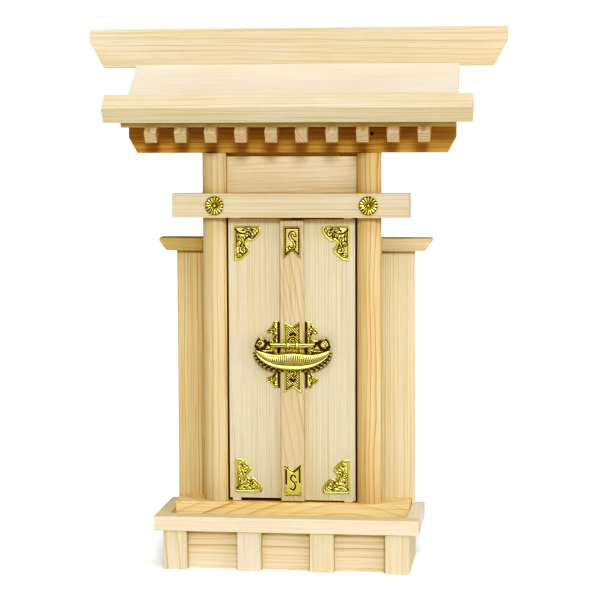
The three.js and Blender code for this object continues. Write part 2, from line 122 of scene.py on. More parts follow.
class AltarWood(PropertyGroup):
    """Colours and edges of the bare cypress."""

    cream: tint("Cream", "Palest early wood", 0.545, 0.48, 0.375)
    honey: tint("Honey", "Warmer early wood", 0.52, 0.42, 0.29)
    late: tint("Late wood", "Growth-ring lines", 0.30, 0.18, 0.08)
    end: tint("End grain", "Sawn ends", 0.52, 0.445, 0.34)
    edge: FloatProperty(
        name="Edge rounding", description="Width of the eased edges", unit="LENGTH",
        default=0.35 * MM, min=0
    )


class AltarBrass(PropertyGroup):
    """Colours and mesh size of the pressed fittings."""

    gold: tint("Gold", "Polished high spots", 0.57, 0.53, 0.25)
    shade: tint("Recess", "Dark lacquer left in the recesses", 0.035, 0.03, 0.02)
    cell: FloatProperty(
        name="Mesh size", description="Grid of the pressed relief", unit="LENGTH",
        default=0.25 * MM, min=0.1 * MM
    )


class AltarStudio(PropertyGroup):
    """The camera and the soft studio light."""

    camera_place: FloatVectorProperty(
        name="Camera", description="Where the camera stands", subtype="TRANSLATION", unit="LENGTH",
        default=(0.229, -1.79335, 0.407)
    )
    camera_turn: FloatVectorProperty(
        name="Camera turn", description="Pitch, roll and yaw", subtype="EULER", unit="ROTATION",
        default=(math.radians(-5.39), math.radians(-0.207), math.radians(6.956))
    )
    camera_lens: FloatProperty(name="Lens", description="Focal length in millimetres", default=116.6, min=1)
    camera_shift: FloatVectorProperty(
        name="Shift", description="Framing as a share of the width", size=2, default=(-0.0043, 0.0175)
    )
    key: amount("Key light", "Strength of the light from the front", 1.36)
    top: amount("Top light", "Strength of the light from overhead", 1.15)
    back: amount("Back light", "Strength of the light from behind", 0.5)
    side: amount("Side light", "Strength of the light from the right", 0.8)
    sky: amount("Ceiling", "Brightness of the room overhead", 0.12)
    wall: amount("Walls", "Brightness of the room's far walls", 0.65)
    floor: tint("Floor", "Pale floor", 0.9, 0.9, 0.9)


# ---- shader maths ----
class Wire:
    """An output socket of a material; arithmetic on it adds Math nodes."""

    def __init__(self, finish, socket):
        self.finish = finish
        self.socket = socket

    def math(self, operation, *others):
        inputs = dict(enumerate((self, *others)))
        return self.finish.node("ShaderNodeMath", {"operation": operation}, inputs)

    def __add__(self, other):
        return self.math("ADD", other)

    __radd__ = __add__

    def __sub__(self, other):
        return self.math("SUBTRACT", other)

    def __rsub__(self, other):
        return self.finish.node("ShaderNodeMath", {"operation": "SUBTRACT"}, {0: other, 1: self})

    def __mul__(self, other):
        return self.math("MULTIPLY", other)

    __rmul__ = __mul__

    def __truediv__(self, other):
        return self.math("DIVIDE", other)

    def __abs__(self):
        return self.math("ABSOLUTE")

    def step(self, low, high):
        """0 below low, 1 above high and smooth between; low may be the greater."""
        settings = {"interpolation_type": "SMOOTHSTEP"}
        if low < high:
            return self.finish.node("ShaderNodeMapRange", settings, {"Value": self, 1: low, 2: high})
        return 1 - self.finish.node("ShaderNodeMapRange", settings, {"Value": self, 1: high, 2: low})


class Finish:
    """One material under construction."""

    def __init__(self, name):
        self.material = bpy.data.materials.new(name)
        self.material.use_nodes = True
        self.tree = self.material.node_tree
        self.tree.nodes.clear()
        self.shader = self.tree.nodes.new("ShaderNodeBsdfPrincipled")
        output = self.tree.nodes.new("ShaderNodeOutputMaterial")
        self.tree.links.new(self.shader.outputs["BSDF"], output.inputs["Surface"])

    def plug(self, socket, value):
        if isinstance(value, Wire):
            self.tree.links.new(value.socket, socket)
        elif socket.type == "RGBA":
            socket.default_value = (*value, 1)
        else:
            socket.default_value = value

    def node(self, kind, settings=None, inputs=None, output=0):
        """Adds a node: its settings first, then its sockets' values or links."""
        node = self.tree.nodes.new(kind)
        for key, value in (settings or {}).items():
            setattr(node, key, value)
        for key, value in (inputs or {}).items():
            self.plug(node.inputs[key], value)
        return Wire(self, node.outputs[output])

    def vector(self, operation, first, second=None, output=0):
        inputs = {0: first} if second is None else {0: first, 1: second}
        return self.node("ShaderNodeVectorMath", {"operation": operation}, inputs, output)

    def dot(self, first, second):
        return self.vector("DOT_PRODUCT", first, second, "Value")

    def join(self, x, y, z):
        return self.node("ShaderNodeCombineXYZ", None, {0: x, 1: y, 2: z})

    def noise(self, place, detail=2.0, rough=0.5):
        inputs = {"Vector": place, "Scale": 1.0, "Detail": detail, "Roughness": rough}
        return self.node("ShaderNodeTexNoise", None, inputs)

    def mix(self, factor, first, second, blend="MIX"):
        settings = {"data_type": "RGBA", "blend_type": blend}
        return self.node("ShaderNodeMix", settings, {0: factor, 6: first, 7: second}, 2)

    def close(self, colour, rough, bump, depth, **fixed):
        """Feeds the shader: colour, roughness and a bump of that depth, and its fixed values."""
        self.plug(self.shader.inputs["Base Color"], colour)
        self.plug(self.shader.inputs["Roughness"], rough)
        normal = self.node("ShaderNodeBump", None, {"Strength": 1.0, "Distance": depth, "Height": bump})
        self.plug(self.shader.inputs["Normal"], normal)
        for name, value in fixed.items():
            self.plug(self.shader.inputs[name.replace("_", " ")], value)
        return self.material


# ---- cypress ----
@dataclass
class Board:
    """How a board was sawn, in millimetres from its middle. Its last tint darkens the faces that look
    across it, as painted shade.
    """

    along: Vector = field(default_factory=lambda: X)
    across: Vector = field(default_factory=lambda: Z)
    through: Vector = field(default_factory=lambda: Y)
    ring: float = 2.6
    pith: tuple = (-90.0, 40.0)
    lean: float = 0.0
    arch: tuple = (0.0, 0.0, 30.0)
    wander: float = 1.5
    late: float = 0.5
    warmth: float = 0.3
    tone: tuple = (1.0, 1.0, 1.0)
    # Painted shade for the faces that look across the board.
    painted_shade_across: tuple = (1.0, 1.0, 1.0)


def cypress(name, board, middle, wood):
    """Bare planed cypress: growth rings round a bent pith, fibres along the grain and speckled ends."""
    finish = Finish(f"cypress_{name}")
    seed = random.Random(name).uniform(0, 400)
    coordinates = ("ShaderNodeTexCoord", None, None)
    point = finish.vector("SUBTRACT", finish.node(*coordinates, "Object"), middle)
    axes = (board.along, board.across, board.through)
    along, across, through = (finish.dot(point, axis / MM) for axis in axes)

    slow_drift = finish.noise(finish.join(along / 95 + seed, across / 26, through / 26), 1.0) - 0.5
    quick_drift = finish.noise(finish.join(along / 30 + seed, across / 9, through / 9 + seed), 1.0) - 0.5
    slope, peak, bend = board.arch
    away = along - peak
    bent = ((away * away + bend * bend).math("SQRT") - bend) * slope + along * board.lean
    reach = across - board.pith[0] + bent + slow_drift * board.wander * 4 + quick_drift * board.wander * 0.6
    depth = through - board.pith[1]
    radius = (reach * reach + depth * depth).math("SQRT") / board.ring
    uneven = finish.noise(finish.join(radius * 0.33 + seed, 0.5, 0.5), 1.0)
    phase = radius + uneven * 2.4
    turn = phase.math("FRACT")
    year = phase.math("FLOOR") + seed
    lot = finish.node("ShaderNodeTexWhiteNoise", {"noise_dimensions": "1D"}, {"W": year})
    line = turn.step(0.3, 0.92) * 0.24 + turn.step(0.78, 0.94) * 0.76
    line = line * turn.step(1.0, 0.97) * (0.3 + lot * 0.7)

    def grain(long, wide, detail, rough=0.5):
        """Noise drawn out along the fibres."""
        return finish.noise(finish.join(along / long, across / wide + seed, through / wide), detail, rough)

    def faces_along(axis):
        return abs(finish.dot(finish.node(*coordinates, "Normal"), axis))

    cloud = grain(110, 34, 1.0)
    streak = grain(150, 1.1, 2.0, 0.6).step(0.5, 0.7) * 0.36 * (0.3 + board.late)
    fibre = grain(26, 0.34, 2.0, 0.6)
    fleck = grain(3.4, 0.5, 1.0).step(0.68, 0.8) * 0.22
    colour = finish.mix((cloud - 0.5) * 1.2 + board.warmth, wood.cream, wood.honey)
    for mark in (line * board.late, streak, fibre.step(0.5, 0.75) * 0.2, fleck):
        colour = finish.mix(mark, colour, wood.late)

    sawn = faces_along(board.along).step(0.72, 0.92)
    speck = grain(0.8, 0.42, 2.0, 0.7)
    end = finish.mix(line * 0.95 + speck.step(0.45, 0.75) * 0.22, wood.end, wood.late)
    colour = finish.mix(sawn, colour, end)
    colour = finish.mix(1.0, colour, board.tone, "MULTIPLY")
    # Painted shade on the faces that look across the board.
    shaded_across = finish.mix(1.0, colour, board.painted_shade_across, "MULTIPLY")
    colour = finish.mix(faces_along(board.across).step(0.7, 0.9), colour, shaded_across)

    rough = 0.58 + fibre * 0.12 - line * 0.08 + sawn * 0.1
    bump = fibre * 0.5 + line * 0.5 + sawn * speck
    return finish.close(colour, rough, bump, 0.05 * MM, Specular_IOR_Level=0.35, IOR=1.45)


def rafter_boards():
    """Ten squared rafters, each sawn from another part of the log."""
    boards = {}
    for i in range(1, 11):
        draw = random.Random(40 + i)
        pith = (draw.uniform(-45, 45), draw.choice((-1, 1)) * draw.uniform(18, 40))
        boards[f"rafter_{i:02d}"] = Board(
            UP_ROOF, X, OFF_ROOF, ring=draw.uniform(1.7, 3.0), pith=pith, wander=0.5,
            warmth=draw.uniform(0.0, 0.3), tone=(0.94, 0.92, 0.92)
        )
    return boards


def upright(**cut):
    """A board with its grain up and down and its face to the front."""
    return Board(Z, X, Y, **cut)


BOARDS = {
    "ridge_beam": Board(
        ring=4.4, pith=(-120, 30), lean=0.014, wander=1.6, late=0.36, warmth=0.5, tone=(1.02, 1.05, 1.08)
    ),
    "eave_board": Board(
        across=OFF_ROOF, through=UP_ROOF, ring=3.0, pith=(-60, 45), lean=0.012, late=0.36,
        tone=(1.01, 1.04, 1.05)
    ),
    # The roof sheet's cut front edge gets painted shade, for the eave's shadow over it.
    "roof_sheet": Board(
        across=UP_ROOF, through=OFF_ROOF, ring=6, pith=(-30, -60), late=0.05, tone=(1.0, 1.05, 1.15),
        painted_shade_across=(0.7, 0.63, 0.54)
    ),
    # The eave beam's deep, warm tone is painted shade, for the eave's shadow over the whole beam.
    "eave_beam": Board(ring=2.6, pith=(-50, 60), wander=2.2, late=1.0, warmth=0.9, tone=(0.78, 0.66, 0.48)),
    "tie_board": Board(
        ring=3.2, pith=(-160, 20), wander=0.5, late=0.36, warmth=0.25, tone=(0.92, 0.93, 0.93)
    ),
    "upper_panel": Board(
        ring=3.2, pith=(-70, 60), lean=-0.05, wander=2.0, late=0.3, warmth=0.35, tone=(1.09, 1.08, 1.12)
    ),
    "floor_board": Board(
        ring=8.0, pith=(-110, 40), arch=(0.42, 52.0, 38.0), wander=0.7, late=0.7, warmth=0.6,
        tone=(1.24, 1.21, 1.13)
    ),
    "tray_front_rail": Board(ring=3.2, pith=(-60, 50), late=0.18, warmth=0.05, tone=(1.0, 1.0, 1.01)),
    "tray_left_rail": Board(Y, X, Z, ring=2.4, late=0.3, warmth=0.1),
    # The right rail's paler, bluer tone is painted light from the right.
    "tray_right_rail": Board(Y, X, Z, ring=2.4, late=0.2, warmth=0.05, tone=(1.1, 1.13, 1.24)),
    "tray_deck": Board(across=Y, through=Z, ring=3.2, late=0.3),
    "base_front_panel": Board(
        ring=5.2, pith=(-90, 70), wander=0.8, late=0.55, warmth=0.6, tone=(1.08, 1.1, 1.16)
    ),
    "base_back_panel": Board(ring=4.0, pith=(-80, 60), warmth=0.4),
    "base_side_left": Board(Y, Z, X, ring=3.4, warmth=0.4),
    # The right side's paler tone is painted light from the right.
    "base_side_right": Board(Y, Z, X, ring=3.4, late=0.4, tone=(1.06, 1.09, 1.16)),
    "base_post_1": upright(
        ring=12, pith=(-60, 20), lean=0.13, late=0.55, warmth=0.2, tone=(0.95, 0.96, 0.96)
    ),
    "base_post_2": upright(
        ring=10, pith=(-50, 30), lean=0.1, late=0.3, warmth=0.15, tone=(0.95, 0.97, 1.02)
    ),
    "base_post_3": upright(
        ring=9, pith=(40, 30), lean=0.03, late=0.28, warmth=0.1, tone=(0.94, 0.95, 0.94)
    ),
    "base_post_4": upright(
        ring=5, pith=(50, 30), lean=-0.04, late=0.22, warmth=0.1, tone=(0.95, 0.96, 0.95)
    ),
    "pillar_left": upright(
        ring=3.1, pith=(-40, 30), wander=0.8, late=0.36, warmth=0.4, tone=(0.93, 0.92, 0.88)
    ),
    "pillar_right": upright(
        ring=3.4, pith=(-35, 30), wander=1.4, late=0.6, warmth=0.7, tone=(0.95, 0.91, 0.85)
    ),
    "cabinet_side_left": Board(Z, Y, X, ring=3, late=0.4),
    "cabinet_side_right": Board(Z, Y, X, ring=3, late=0.4),
    "wing_panel_left": upright(
        ring=2.6, pith=(-90, 25), wander=0.8, late=0.7, warmth=0.5, tone=(0.98, 0.97, 0.93)
    ),
    "wing_panel_right": upright(
        ring=2.4, pith=(-90, 25), wander=0.8, warmth=0.2, tone=(1.04, 1.06, 1.05)
    ),
    # The left cap's darker tone is painted shade.
    "wing_cap_left": Board(ring=4, pith=(-30, 30), lean=0.03, late=0.3, tone=(0.8, 0.75, 0.6)),
    "wing_cap_right": Board(
        ring=4, pith=(-30, 30), lean=-0.03, late=0.3, warmth=0.2, tone=(0.96, 0.93, 0.91)
    ),
    "back_board": upright(ring=5, pith=(-30, 50), wander=4, late=0.45, warmth=0.35),
    "left_door_leaf": upright(
        ring=2.3, pith=(-150, 20), wander=0.6, late=0.4, warmth=0.1, tone=(0.93, 0.96, 0.99)
    ),
    "right_door_leaf": upright(
        ring=2.5, pith=(-150, 20), wander=0.6, late=0.42, warmth=0.1, tone=(0.93, 0.97, 0.98)
    ),
    "door_stile": upright(
        ring=4.8, pith=(-50, 26), lean=0.17, wander=0.8, late=0.46, warmth=0.5, tone=(0.91, 0.9, 0.91)
    ),
    **rafter_boards(),
}


def board_finish(context, name):
    low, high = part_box(name)
    return cypress(name, BOARDS[name], (low + high) / 2, context.scene.altar_wood)


def weld_seams(piece):
    weld = piece.modifiers.new("weld", "WELD")
    weld.merge_threshold = WELD_GAP
    return weld


def ease_edges(context, piece, corner=25):
    """Eases the edges that turn by more than corner degrees."""
    bevel = piece.modifiers.new("eased_edges", "BEVEL")
    bevel.width = context.scene.altar_wood.edge
    bevel.segments = 2
    bevel.limit_method = "ANGLE"
    bevel.angle_limit = math.radians(corner)


def dress_boards(context, *starts):
    """Eases the edges of the boards whose names start so, and gives each its own cut of cypress."""
    for name in (n for n in BOARDS if n.startswith(starts)):
        piece = NODES[name]
        piece.material_slots[0].material = board_finish(context, name)
        weld_seams(piece)
        ease_edges(context, piece)


# ---- mesh helpers ----
def place_object(name, data):
    """Adds an object with that data to the scene."""
    item = bpy.data.objects.new(name, data)
    bpy.context.scene.collection.objects.link(item)
    return item


def mesh_piece(name, points, faces, material, node=None, wear=None, crisp=60):
    """Makes a closed piece from points in metres, which rides on the body of the node that it stands for.

    Corners over crisp degrees stay sharp.
    """
    mesh = bpy.data.meshes.new(name)
    mesh.from_pydata([tuple(p) for p in points], [], [tuple(f) for f in faces])
    mesh.materials.append(material)
    mesh.polygons.foreach_set("use_smooth", [True] * len(mesh.polygons))
    if wear is not None:
        layer = mesh.attributes.new("wear", "FLOAT", "POINT")
        layer.data.foreach_set("value", np.asarray(wear, np.float32))
    tidy_normals(mesh, crisp)
    piece = place_object(name, mesh)
    if node:
        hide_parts(node)
        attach(piece, NODES[node]["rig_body"])
    return piece


def tube_faces(rows, columns):
    """Faces over rows of points that each close on themselves, and over both ends."""
    faces = []
    for i in range(rows - 1):
        for k in range(columns):
            n = (k + 1) % columns
            faces.append((i * columns + k, i * columns + n, (i + 1) * columns + n, (i + 1) * columns + k))
    return faces + [tuple(range(columns))[::-1], tuple(range((rows - 1) * columns, rows * columns))]


def smooth_line(points, count=14, closed=False):
    """A soft curve through given points."""
    points = np.array(points, float)
    if closed:
        padded = np.vstack([points[-1], points, points[0], points[1]])
    else:
        padded = np.vstack([2 * points[0] - points[1], points, 2 * points[-1] - points[-2]])
    spans = len(padded) - 3
    line = []
    for i in range(count):
        at = i * spans / (count if closed else count - 1)
        k = min(int(at), spans - 1)
        t = at - k
        a, b, c, d = padded[k:k + 4]
        square, cube = (2 * a - 5 * b + 4 * c - d) * t**2, (3 * b - a - 3 * c + d) * t**3
        line.append(0.5 * (2 * b + (c - a) * t + square + cube))
    return np.array(line)


def spiral(u, v, radius, turns, start, hand, steps=34):
    """A scroll that winds inwards from radius."""
    along = np.linspace(0, 1, steps)
    reach = radius * (1 - 0.82 * along)
    angle = start + hand * along * turns * math.tau
    return np.stack([u + reach * np.cos(angle), v + reach * np.sin(angle)], 1)


def distance(points, u, v):
    """Distance from each place (u, v) to a line of points."""
    best = np.full(u.shape, 1e9)
    for (au, av), (bu, bv) in zip(points[:-1], points[1:]):
        du, dv = bu - au, bv - av
        t = np.clip(((u - au) * du + (v - av) * dv) / max(du * du + dv * dv, 1e-12), 0, 1)
        best = np.minimum(best, (u - au - t * du) ** 2 + (v - av - t * dv) ** 2)
    return np.sqrt(best)


def inside(outline, u, v):
    """True where (u, v) lies in the closed outline."""
    within = np.zeros(u.shape, bool)
    for (au, av), (bu, bv) in zip(outline, np.roll(outline, -1, 0)):
        if av == bv:
            continue
        crosses = ((av > v) != (bv > v)) & (u < (bu - au) * (v - av) / (bv - av) + au)
        within ^= crosses
    return within


def hump(away, half):
    """1 on a line, falling to 0 at half its width."""
    return np.clip(1 - (away / half) ** 2, 0, 1)


def ease(value, low, high):
    t = np.clip((value - low) / (high - low), 0, 1)
    return t * t * (3 - 2 * t)


def sheet_points(outline, cell):
    """A grid over the outline: places, signed depth inside it, and the grid's shape."""
    low, high = outline.min(0) - cell, outline.max(0) + cell
    columns, rows = (np.ceil((high - low) / cell).astype(int) + 1)
    u, v = np.meshgrid(low[0] + cell * np.arange(columns), low[1] + cell * np.arange(rows), indexing="ij")
    away = distance(np.vstack([outline, outline[:1]]), u, v)
    return u, v, np.where(inside(outline, u, v), away, -away)


def pressed_sheet(context, name, node, outline, relief, place, cell=None):
    """A pressed plate. relief(u, v, edge) gives its height and its polish, painted light and shade
    included, and place(u, v, height) its points.
    """
    u, v, edge = sheet_points(outline, cell or context.scene.altar_brass.cell / MM)
    kept = edge > 0
    whole = int(kept.sum())
    index = np.full(u.shape, -1)
    index[kept] = np.arange(whole)
    places = [np.stack([u[kept], v[kept]], 1)]
    count = whole
    rim = {}

    def crossing(a, b):
        nonlocal count
        key = (a, b) if a < b else (b, a)
        if key not in rim:
            t = edge[a] / (edge[a] - edge[b])
            rim[key] = count
            places.append(np.array([[u[a] + (u[b] - u[a]) * t, v[a] + (v[b] - v[a]) * t]]))
            count += 1
        return rim[key]

    faces = []
    walls = []
    corners = np.stack([kept[:-1, :-1], kept[1:, :-1], kept[1:, 1:], kept[:-1, 1:]])
    for i, k in zip(*np.nonzero(corners.any(0))):
        ring = [(i, k), (i + 1, k), (i + 1, k + 1), (i, k + 1)]
        if corners[:, i, k].all():
            faces.append([index[c] for c in ring])
            continue
        face = []
        for a, b in zip(ring, ring[1:] + ring[:1]):
            if kept[a]:
                face.append(index[a])
            if kept[a] != kept[b]:
                face.append(crossing(a, b))
        faces.append(face)
        bare = [p for p in face if p >= whole]
        if len(bare) == 2:
            first = face.index(bare[0])
            walls.append(bare if face[(first + 1) % len(face)] == bare[1] else bare[::-1])
    flat = np.vstack(places)
    depth = np.concatenate([edge[kept], np.zeros(count - whole)])
    height, wear = relief(flat[:, 0], flat[:, 1], depth)
    top = [place(a, b, h) for (a, b), h in zip(flat, height)]
    under = [place(a, b, 0.0) for a, b in flat]
    faces += [[p + count for p in reversed(f)] for f in faces]
    faces += [(b, a, a + count, b + count) for a, b in walls]
    wear = np.concatenate([wear, np.full(count, SHEET_EDGE_WEAR)])
    return brass_piece(context, name, top + under, faces, node, wear)


def tidy_normals(mesh, crisp):
    """Turns a closed mesh's faces outwards and keeps corners over that many degrees sharp."""
    work = bmesh.new()
    work.from_mesh(mesh)
    bmesh.ops.recalc_face_normals(work, faces=work.faces)
    for edge in work.edges:
        edge.smooth = len(edge.link_faces) == 2 and edge.calc_face_angle(0) < math.radians(crisp)
    work.to_mesh(mesh)
    work.free()


# ---- pressed brass ----
def brass_piece(context, name, points, faces, node, wear):
    """A closed piece of worked brass, with its polish from 0 to 1 at each point; on some pieces this holds
    painted light and shade too.
    """
    return mesh_piece(name, points, faces, pressed_brass(context), node, np.clip(wear, 0, 1))


def pressed_brass(context, worked=True):
    """Gold-coloured brass, bright on its high spots; worked pieces keep dark lacquer in their recesses."""
    name = "worked_brass" if worked else "plain_brass"
    if name in bpy.data.materials:
        return bpy.data.materials[name]
    brass = context.scene.altar_brass
    finish = Finish(name)
    point = finish.node("ShaderNodeTexCoord", None, None, "Object")
    blotch = finish.noise(finish.vector("MULTIPLY", point, (220, 220, 220)), 2.0)
    grain = finish.noise(finish.vector("MULTIPLY", point, (2600, 2600, 2600)), 1.0)
    polish_and_painted_light = (blotch - 0.5) * 0.3
    if worked:
        # The attribute holds each point's polish, and on some pieces painted highlights and shade too.
        polish_and_painted_light = polish_and_painted_light + finish.node("ShaderNodeAttribute", {"attribute_name": "wear"}, None, "Fac")
    else:
        polish_and_painted_light = polish_and_painted_light + 0.85
    olive = tuple(c * share for c, share in zip(brass.gold, (0.56, 0.56, 0.9)))
    colour = finish.mix(polish_and_painted_light.step(0.12, 0.4), brass.shade, olive)
    colour = finish.mix(polish_and_painted_light.step(0.35, 0.8), colour, brass.gold)
    finish.plug(finish.shader.inputs["Metallic"], polish_and_painted_light.step(0.05, 0.4))
    rough = 0.5 - polish_and_painted_light.step(0.3, 0.9) * 0.22 + grain * 0.08
    return finish.close(colour, rough, grain, 0.02 * MM, IOR=1.45)


def stipple(u, v, pitch=2.1):
    """A ground of small curled grains."""
    along = u + 0.45 * np.sin(1.3 * v)
    up = v + 0.45 * np.sin(1.1 * u)
    return np.cos(math.tau * along / pitch) * np.cos(math.tau * up / pitch)


def faintly_ruled(u, v, pitch=1.9):
    """A ground of fine level lines."""
    return 0.4 * np.sin(math.tau * v / pitch)


def plain_ground(u, v):
    return 0 * u


def lattice(u, v, pitch=2.4):
    """A ground of crossed slanting lines."""
    return 2 * np.maximum(np.cos(math.tau * (u + v) / pitch), np.cos(math.tau * (u - v) / pitch)) - 1


def bordered(width):
    """A border of even width; a width below 0 leaves none."""
    def border(u, v, edge):
        return edge - width
    return border


def worked_plate(
    thick, border, raised=(), cut=(), ground=stipple, field_wear_and_light=0.84, rim_wear_and_light=0.95, soot=0.75
):
    """The relief of a pressed plate.

    border(u, v, edge) is the depth inside the border, below 0 on it. raised and cut list lines of points,
    each with half its width. soot is how dark the lines round raised parts are. The result gives height in
    millimetres and polish from 0 to 1, which carries painted light and shade on the corner plates.
    """
    def relief(u, v, edge):
        within = border(u, v, edge)
        field = ease(within, 0.3, 0.8)
        grains = ground(u, v) * field
        height = thick - 0.45 * (1 - ease(edge, 0, 0.6)) + 0.22 * ease(-within, 0, 0.5) + 0.12 * grains
        wear = rim_wear_and_light * (1 - field) + (field_wear_and_light + 0.4 * grains) * field
        line = hump(within - 0.3, 0.65)
        height -= 0.3 * line
        wear *= 1 - soot * line
        for points, half in raised:
            away = distance(points, u, v)
            body = hump(away, half) * field
            outline = hump(away - half - 0.35, 0.8) * field
            height += 0.45 * np.sqrt(body) - 0.2 * outline * (1 - body)
            wear = wear * (1 - soot * outline * (1 - ease(body, 0, 0.3)))
            wear = wear * (1 - ease(body, 0.05, 0.5)) + 0.95 * ease(body, 0.05, 0.5)
        for points, half in cut:
            dent = hump(distance(points, u, v), half)
            height -= 0.5 * np.sqrt(dent)
            wear *= 1 - min(1, soot / 0.75) * ease(dent, 0.02, 0.35)
        return np.maximum(height, 0.12), np.clip(wear, 0, 1)
    return relief


def pit(u, v, reach=0.3):
    """A short mark, cut as a dot."""
    return np.array([[u - reach, v], [u + reach, v]])


CORNER_CURVE = smooth_line(
    [(24.6, 0.4), (25.2, 5.2), (22.2, 9.7), (18.6, 13.2), (15.6, 14.3), (13.4, 13.1), (11.5, 15.2),
     (12.2, 18.6), (14.7, 21.6), (13.5, 25.2), (10.2, 28.2), (6.5, 31.3), (1.2, 32.4)], 70
)


def corner_border(u, v, edge):
    """A broad border on the scalloped side and a narrow one on the straight sides."""
    return np.minimum(distance(CORNER_CURVE, u, v) - 2.0, np.minimum(u, v) - 1.3)


def make_corner_plates(context):
    """Scrolled plates on the outer corners of both doors."""
    outline = np.vstack([[(0, 0)], CORNER_CURVE, [(0, 32.2)]])
    raised = [
        (spiral(17.6, 7.0, 3.5, 1.2, 2.4, 1), 0.75),
        (spiral(8.4, 22.6, 3.6, 1.2, -0.7, -1), 0.75),
        (spiral(12.4, 8.6, 2.2, 1.1, 0.4, -1), 0.6),
        (spiral(4.7, 16.4, 2.1, 1.1, 2.0, 1), 0.6),
        (spiral(4.6, 27.6, 2.0, 1.1, 1.2, -1), 0.6),
        (smooth_line([(7.4, 11.4), (8.6, 15.2), (7.2, 18.8)]), 0.7),
        (smooth_line([(2.6, 7.6), (3.6, 10.6), (3.0, 13.4)]), 0.6),
        (smooth_line([(10.0, 3.2), (12.8, 4.4), (15.2, 3.4)]), 0.6),
    ]
    cut = [(smooth_line([(0.9, 3.0), (3.4, 5.6), (6.6, 7.0), (9.3, 7.2)], 20), 0.75)]
    for u, v, reach, half in (
        (7.9, 4.3, 0.3, 0.9), (4.3, 10.0, 0.2, 0.8), (17.0, 3.7, 0.5, 0.8), (10.8, 11.4, 0.2, 0.7),
        (21.2, 3.0, 0.1, 0.6), (6.0, 25.4, 0.4, 0.6), (9.6, 18.6, 0.2, 0.6), (14.4, 9.8, 0.3, 0.6),
    ):
        cut.append((pit(u, v, reach), half))
    shape = (PLATE_THICKNESS, corner_border, raised, cut)
    # The top plates take a darker copy and the foot plates a brighter one: painted shade and painted light.
    shaded_copy = worked_plate(*shape)
    bright = worked_plate(*shape, field_wear_and_light=0.96, rim_wear_and_light=1.0, soot=0.5)
    for hand, side in HANDS:
        for level, lift, relief in (("top", -1, shaded_copy), ("foot", 1, bright)):
            node = f"corner_plate_{hand}_{level}"
            low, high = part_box(node)
            x = low.x if side < 0 else high.x
            z = high.z if lift < 0 else low.z

            def place(u, v, height, x=x, z=z, side=side, lift=lift, back=high.y):
                return x - side * u * MM, back - height * MM, z + lift * v * MM

            pressed_sheet(context, f"scrolled_{node}", node, outline, relief, place)


def tail_line(z, lift, depth, half, count=25):
    """The scooped end of a strap, from its left point to its right one."""
    t = np.linspace(-1, 1, count)
    return np.stack([t * half, z + lift * depth * (1 - np.abs(t) ** 1.3)], 1)


def strap_outline(low, high, half, low_tail, high_tail):
    lower = tail_line(low, 1, low_tail, half) if low_tail else np.array([(-half, low), (half, low)])
    upper = tail_line(high, -1, high_tail, half) if high_tail else np.array([(-half, high), (half, high)])
    return np.vstack([lower, upper[::-1]])


def scroll(middle, tall, wide):
    """An open plant scroll, hooked at both ends."""
    stem = [(0.80, 0.62), (0.60, 0.84), (0.05, 0.94), (-0.50, 0.82), (-0.68, 0.54), (-0.35, 0.24),
            (0.25, 0.02), (0.68, -0.24), (0.70, -0.58), (0.25, -0.86), (-0.35, -0.92), (-0.80, -0.72)]
    return smooth_line(stem, 56) * (wide / 2, tall / 2) + (0, middle)


def make_stile_plates(context):
    """The three straps down the lapping stile."""
    stem = scroll(1.6, 16.5, 6.4)
    thin_stem = scroll(-2.8, 15.0, 6.0)
    eyes = [(spiral(0, side * 14.6, 3.0, 1.2, side * 1.2, 1), 0.65) for side in (-1, 1)]
    moons = [
        (smooth_line([(-2.0, side * 20.8), (0.2, side * 22.3), (2.4, side * 20.9)]), 1.25)
        for side in (-1, 1)
    ]
    slots = [(np.array([(-6.4, -4.2), (-6.4, 9.6)]), 0.75), (np.array([(6.3, -2.6), (6.3, 11.2)]), 0.75)]
    notch = tail_line(15.0, -1, 6.0, 7.8) + (0, -1.7)
    nails = [(pit(side * 6.2, -12.6, 0.05), 0.6) for side in (-1, 1)]
    engraved = [(thin_stem, 0.6), (pit(2.7, -2.2, 0.3), 0.6)]
    dent = (pit(2.9, 1.2, 0.2), 0.9)
    cuts = [*engraved, *slots, *nails, (notch, 0.5)]
    top = worked_plate(PLATE_THICKNESS, bordered(1.3), [(stem, 0.7)], [dent], faintly_ruled, 0.62, 0.42)
    foot = worked_plate(PLATE_THICKNESS, bordered(-3), [], cuts, plain_ground, 1.0, 1.0)
    centre = worked_plate(PLATE_THICKNESS, bordered(1.3), eyes, moons, lattice, 0.55, 0.75)
    works = {"top": ((7.2, 0.0), top), "foot": ((0.0, 6.0), foot), "centre": ((5.6, 5.0), centre)}
    for part, (tails, relief) in works.items():
        node = f"stile_plate_{part}"
        low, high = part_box(node)
        middle = (low + high) / 2
        half = (high - low) / 2 / MM
        outline = strap_outline(-half.z, half.z, half.x, *tails)

        def place(u, v, height, middle=middle, back=high.y):
            return middle.x + u * MM, back - height * MM, middle.z + v * MM

        pressed_sheet(context, f"chased_{node}", node, outline, relief, place)


SIDE_CURVE = [
    (0, 31.2), (5.4, 31.0), (8.0, 26.0), (12.2, 22.6), (10.8, 20.0), (7.6, 20.8), (6.3, 16.4), (7.8, 9.4),
    (7.8, -10.6), (6.3, -16.1), (7.2, -20.0), (12.0, -22.0), (11.4, -25.2), (7.6, -27.6), (5.4, -30.8),
    (0, -31.2),
]


